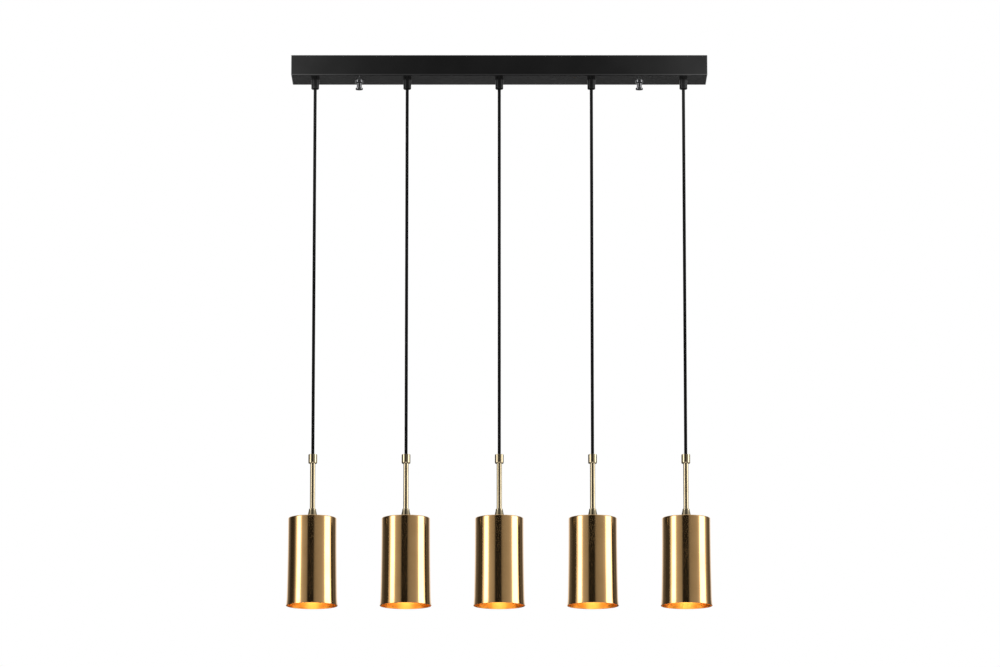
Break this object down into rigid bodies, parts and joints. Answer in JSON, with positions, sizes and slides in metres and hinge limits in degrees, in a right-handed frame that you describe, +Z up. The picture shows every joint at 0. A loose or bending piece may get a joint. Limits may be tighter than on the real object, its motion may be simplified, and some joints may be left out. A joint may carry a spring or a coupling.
{
  "type": "linear pendant ceiling lamp",
  "caption": "Linear pendant ceiling light: slim black rectangular canopy, straight black cords from cord grips, and brass cylinder shades on slim stems, each with a screw-in bulb.",
  "frame": {"origin": "centre of the ceiling bracket's top face, in the ceiling plane", "axes": "+Z up towards the ceiling, +X along the canopy, -Y towards the front"},
  "size_m": [0.8082, 0.0982, 1.0615],
  "materials": {
    "canopy_black": "satin",
    "zinc_steel": "satin",
    "grip_black": "satin",
    "cord_black": "matte",
    "block_white": "satin",
    "screw_brass": "satin",
    "wire_brown": "gloss",
    "wire_blue": "gloss",
    "wire_green": "gloss",
    "nut_chrome": "polished",
    "shade_brass": "satin polished",
    "holder_black": "satin",
    "cap_metal": "satin",
    "bulb_opal": "opal"
  },
  "bodies": {
    "canopy": {"canopy_pan": "canopy_black", "ceiling_bracket": "zinc_steel", "bracket_studs": "zinc_steel", "lock_nuts": "zinc_steel", "cord_grips": "grip_black", "cord_tails": "cord_black", "terminal_block": "block_white", "terminal_screws": "screw_brass", "live_wires": "wire_brown", "neutral_wires": "wire_blue", "earth_lead": "wire_green"},
    "left_washer": {"nut_washer_left": "nut_chrome"},
    "left_nut": {"thumb_nut_left": "nut_chrome"},
    "right_washer": {"nut_washer_right": "nut_chrome"},
    "right_nut": {"thumb_nut_right": "nut_chrome"},
    "swing_cord_1": {"cord_1": "cord_black"},
    "pendant_1": {"cord_collar_1": "shade_brass", "stem_1": "shade_brass", "stem_foot_1": "shade_brass", "shade_1": "shade_brass", "shade_nut_1": "zinc_steel", "lamp_holder_1": "holder_black"},
    "bulb_1": {"bulb_cap_1": "cap_metal", "bulb_glass_1": "bulb_opal"},
    "swing_cord_2": {"cord_2": "cord_black"},
    "pendant_2": {"cord_collar_2": "shade_brass", "stem_2": "shade_brass", "stem_foot_2": "shade_brass", "shade_2": "shade_brass", "shade_nut_2": "zinc_steel", "lamp_holder_2": "holder_black"},
    "bulb_2": {"bulb_cap_2": "cap_metal", "bulb_glass_2": "bulb_opal"},
    "swing_cord_3": {"cord_3": "cord_black"},
    "pendant_3": {"cord_collar_3": "shade_brass", "stem_3": "shade_brass", "stem_foot_3": "shade_brass", "shade_3": "shade_brass", "shade_nut_3": "zinc_steel", "lamp_holder_3": "holder_black"},
    "bulb_3": {"bulb_cap_3": "cap_metal", "bulb_glass_3": "bulb_opal"},
    "swing_cord_4": {"cord_4": "cord_black"},
    "pendant_4": {"cord_collar_4": "shade_brass", "stem_4": "shade_brass", "stem_foot_4": "shade_brass", "shade_4": "shade_brass", "shade_nut_4": "zinc_steel", "lamp_holder_4": "holder_black"},
    "bulb_4": {"bulb_cap_4": "cap_metal", "bulb_glass_4": "bulb_opal"},
    "swing_cord_5": {"cord_5": "cord_black"},
    "pendant_5": {"cord_collar_5": "shade_brass", "stem_5": "shade_brass", "stem_foot_5": "shade_brass", "shade_5": "shade_brass", "shade_nut_5": "zinc_steel", "lamp_holder_5": "holder_black"},
    "bulb_5": {"bulb_cap_5": "cap_metal", "bulb_glass_5": "bulb_opal"}
  },
  "joints": [
    {"name": "thumb_nut_left_turn", "type": "hinge", "parent": "left_washer", "child": "left_nut", "pos_m": [-0.27, 0, -0.041], "axis": [0, 0, -1], "range_deg": [0, 5765]},
    {"name": "washer_left_drop", "type": "slide", "parent": "canopy", "child": "left_washer", "axis": [0, 0, -1], "range_m": [0, 0.0112]},
    {"name": "thumb_nut_right_turn", "type": "hinge", "parent": "right_washer", "child": "right_nut", "pos_m": [0.27, 0, -0.041], "axis": [0, 0, -1], "range_deg": [0, 5765]},
    {"name": "washer_right_drop", "type": "slide", "parent": "canopy", "child": "right_washer", "axis": [0, 0, -1], "range_m": [0, 0.0112]},
    {"name": "cord_swing_1", "type": "hinge", "parent": "canopy", "child": "swing_cord_1", "pos_m": [-0.355, 0, -0.055], "axis": [1, 0, 0], "range_deg": [-30, 30]},
    {"name": "pendant_sway_1", "type": "hinge", "parent": "swing_cord_1", "child": "pendant_1", "pos_m": [-0.355, 0, -0.7735], "axis": [0, 1, 0], "range_deg": [-15, 15]},
    {"name": "bulb_out_1", "type": "slide", "parent": "pendant_1", "child": "bulb_1", "axis": [0, 0, -1], "range_m": [0, 0.15]},
    {"name": "cord_swing_2", "type": "hinge", "parent": "canopy", "child": "swing_cord_2", "pos_m": [-0.1775, 0, -0.055], "axis": [1, 0, 0], "range_deg": [-30, 30]},
    {"name": "pendant_sway_2", "type": "hinge", "parent": "swing_cord_2", "child": "pendant_2", "pos_m": [-0.1775, 0, -0.7735], "axis": [0, 1, 0], "range_deg": [-15, 15]},
    {"name": "bulb_out_2", "type": "slide", "parent": "pendant_2", "child": "bulb_2", "axis": [0, 0, -1], "range_m": [0, 0.15]},
    {"name": "cord_swing_3", "type": "hinge", "parent": "canopy", "child": "swing_cord_3", "pos_m": [0, 0, -0.055], "axis": [1, 0, 0], "range_deg": [-30, 30]},
    {"name": "pendant_sway_3", "type": "hinge", "parent": "swing_cord_3", "child": "pendant_3", "pos_m": [0, 0, -0.7735], "axis": [0, 1, 0], "range_deg": [-15, 15]},
    {"name": "bulb_out_3", "type": "slide", "parent": "pendant_3", "child": "bulb_3", "axis": [0, 0, -1], "range_m": [0, 0.15]},
    {"name": "cord_swing_4", "type": "hinge", "parent": "canopy", "child": "swing_cord_4", "pos_m": [0.1775, 0, -0.055], "axis": [1, 0, 0], "range_deg": [-30, 30]},
    {"name": "pendant_sway_4", "type": "hinge", "parent": "swing_cord_4", "child": "pendant_4", "pos_m": [0.1775, 0, -0.7735], "axis": [0, 1, 0], "range_deg": [-15, 15]},
    {"name": "bulb_out_4", "type": "slide", "parent": "pendant_4", "child": "bulb_4", "axis": [0, 0, -1], "range_m": [0, 0.15]},
    {"name": "cord_swing_5", "type": "hinge", "parent": "canopy", "child": "swing_cord_5", "pos_m": [0.355, 0, -0.055], "axis": [1, 0, 0], "range_deg": [-30, 30]},
    {"name": "pendant_sway_5", "type": "hinge", "parent": "swing_cord_5", "child": "pendant_5", "pos_m": [0.355, 0, -0.7735], "axis": [0, 1, 0], "range_deg": [-15, 15]},
    {"name": "bulb_out_5", "type": "slide", "parent": "pendant_5", "child": "bulb_5", "axis": [0, 0, -1], "range_m": [0, 0.15]}
  ],
  "couplings": [
    {"joint": "thumb_nut_left_turn", "follows": "washer_left_drop", "rad_per_m": 8976},
    {"joint": "thumb_nut_right_turn", "follows": "washer_right_drop", "rad_per_m": 8976}
  ]
}
